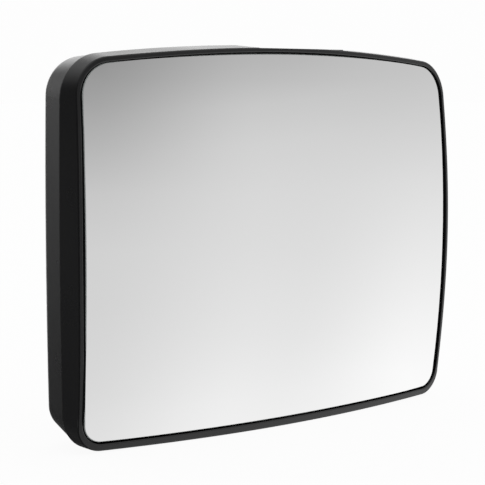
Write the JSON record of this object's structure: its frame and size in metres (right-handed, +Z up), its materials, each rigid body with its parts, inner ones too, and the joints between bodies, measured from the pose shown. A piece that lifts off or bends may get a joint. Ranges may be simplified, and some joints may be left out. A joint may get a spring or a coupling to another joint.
{
  "type": "convex wide-angle mirror head",
  "caption": "Rounded-rectangular convex mirror head in a moulded housing, with a two-axis adjustable glass and a rear clamp for a tubular arm.",
  "frame": {"origin": "centre of the arm clamp's bore, on the tube's axis, midway along the clamp", "axes": "+Z up along the arm tube, -Y towards the side that the glass faces, +X along the mirror's width, to the right for a person who looks at the glass"},
  "size_m": [0.2566, 0.0604, 0.1968],
  "materials": {
    "housing_plastic": "satin black moulded plastic with a fine grain",
    "seal_rubber": "matt black rubber",
    "mirror_face": "silvered convex glass",
    "adhesive_foam": "grey adhesive foam",
    "holder_plastic": "black moulded plastic",
    "pivot_plastic": "dark grey glass-filled nylon",
    "friction_washer": "natural acetal",
    "zinc_steel": "zinc-plated steel",
    "cast_alloy": "black-coated die-cast alloy",
    "bush_nylon": "black nylon"
  },
  "bodies": {
    "arm_sleeve": {"arm_bush": "bush_nylon"},
    "head": {"front_frame": "housing_plastic", "rear_shell_left": "housing_plastic", "rear_shell_right": "housing_plastic", "arm_tray": "housing_plastic", "frame_seal": "seal_rubber", "frame_screws": "zinc_steel", "side_screws": "zinc_steel", "tray_screws": "zinc_steel", "arm_bracket": "cast_alloy", "clamp_cap": "cast_alloy", "clamp_screws": "zinc_steel", "clamp_washers": "zinc_steel", "pivot_base": "pivot_plastic", "pivot_base_screws": "zinc_steel", "pan_pins": "zinc_steel"},
    "gimbal": {"gimbal_ring": "pivot_plastic", "pan_washers": "friction_washer", "tilt_pins": "zinc_steel", "tilt_washers": "friction_washer"},
    "glass_unit": {"mirror_glass": "mirror_face", "adhesive_pad": "adhesive_foam", "glass_holder": "holder_plastic", "adapter_plate": "pivot_plastic", "adapter_screws": "zinc_steel"}
  },
  "joints": [
    {"name": "head_swivel", "type": "hinge", "parent": "arm_sleeve", "child": "head", "pos_m": [0, 0, 0], "axis": [0, 0, 1], "range_deg": [-40, 40]},
    {"name": "glass_pan", "type": "hinge", "parent": "head", "child": "gimbal", "pos_m": [0, -0.027, 0], "axis": [0, 0, 1], "range_deg": [-3, 3]},
    {"name": "glass_tilt", "type": "hinge", "parent": "gimbal", "child": "glass_unit", "pos_m": [0, -0.027, 0], "axis": [1, 0, 0], "range_deg": [-3, 3]}
  ]
}
